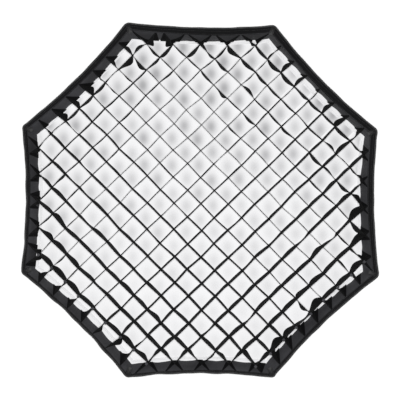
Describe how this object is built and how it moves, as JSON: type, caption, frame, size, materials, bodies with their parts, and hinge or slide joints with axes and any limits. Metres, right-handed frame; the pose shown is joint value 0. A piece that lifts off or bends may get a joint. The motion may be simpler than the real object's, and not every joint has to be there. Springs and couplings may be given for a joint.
{
  "type": "softbox honeycomb grid",
  "caption": "Octagonal fabric egg-crate grid: crossed black louvres sewn into a charcoal funnel collar with a piped rim, over a removable white diffuser.",
  "frame": {"origin": "on the floor, in the middle of the back face, which is the back of the diffuser's fastening tape", "axes": "+Z out of the front of the grid, towards the subject; +Y up as the grid hangs on a softbox; +X to the right seen from the front; four of the eight sides face +X, -X, +Y and -Y"},
  "size_m": [0.8758, 0.8758, 0.046],
  "materials": {
    "louvre_cloth": "matte black woven nylon",
    "collar_cloth": "matte charcoal woven polyester",
    "rim_webbing": "black webbing",
    "piping_cloth": "black cloth-covered piping with a slight sheen",
    "patch_cloth": "charcoal woven patch",
    "hook_tape": "black nylon hook tape",
    "binding_tape": "black binding tape",
    "diffuser_cloth": "white translucent polyester",
    "diffuser_hem": "white turned hem",
    "diffuser_tape": "black nylon fastening tape"
  },
  "bodies": {
    "diffuser": {"diffuser_cloth": "diffuser_cloth", "diffuser_hem": "diffuser_hem", "diffuser_tape": "diffuser_tape"},
    "grid": {"louvre_a_01": "louvre_cloth", "louvre_a_02": "louvre_cloth", "louvre_a_03": "louvre_cloth", "louvre_a_04": "louvre_cloth", "louvre_a_05": "louvre_cloth", "louvre_a_06": "louvre_cloth", "louvre_a_07": "louvre_cloth", "louvre_a_08": "louvre_cloth", "louvre_a_09": "louvre_cloth", "louvre_a_10": "louvre_cloth", "louvre_a_11": "louvre_cloth", "louvre_a_12": "louvre_cloth", "louvre_a_13": "louvre_cloth", "louvre_a_14": "louvre_cloth", "louvre_a_15": "louvre_cloth", "louvre_a_16": "louvre_cloth", "louvre_a_17": "louvre_cloth", "louvre_b_01": "louvre_cloth", "louvre_b_02": "louvre_cloth", "louvre_b_03": "louvre_cloth", "louvre_b_04": "louvre_cloth", "louvre_b_05": "louvre_cloth", "louvre_b_06": "louvre_cloth", "louvre_b_07": "louvre_cloth", "louvre_b_08": "louvre_cloth", "louvre_b_09": "louvre_cloth", "louvre_b_10": "louvre_cloth", "louvre_b_11": "louvre_cloth", "louvre_b_12": "louvre_cloth", "louvre_b_13": "louvre_cloth", "louvre_b_14": "louvre_cloth", "louvre_b_15": "louvre_cloth", "louvre_b_16": "louvre_cloth", "louvre_b_17": "louvre_cloth", "collar_panel_1": "collar_cloth", "collar_panel_2": "collar_cloth", "collar_panel_3": "collar_cloth", "collar_panel_4": "collar_cloth", "collar_panel_5": "collar_cloth", "collar_panel_6": "collar_cloth", "collar_panel_7": "collar_cloth", "collar_panel_8": "collar_cloth", "rim_band": "rim_webbing", "edge_piping": "piping_cloth", "corner_patches": "patch_cloth", "hook_tape": "hook_tape", "back_binding": "binding_tape"}
  },
  "joints": [
    {"name": "grid_pull_off", "type": "slide", "parent": "diffuser", "child": "grid", "axis": [0, 0, 1], "range_m": [0, 0.08]}
  ]
}
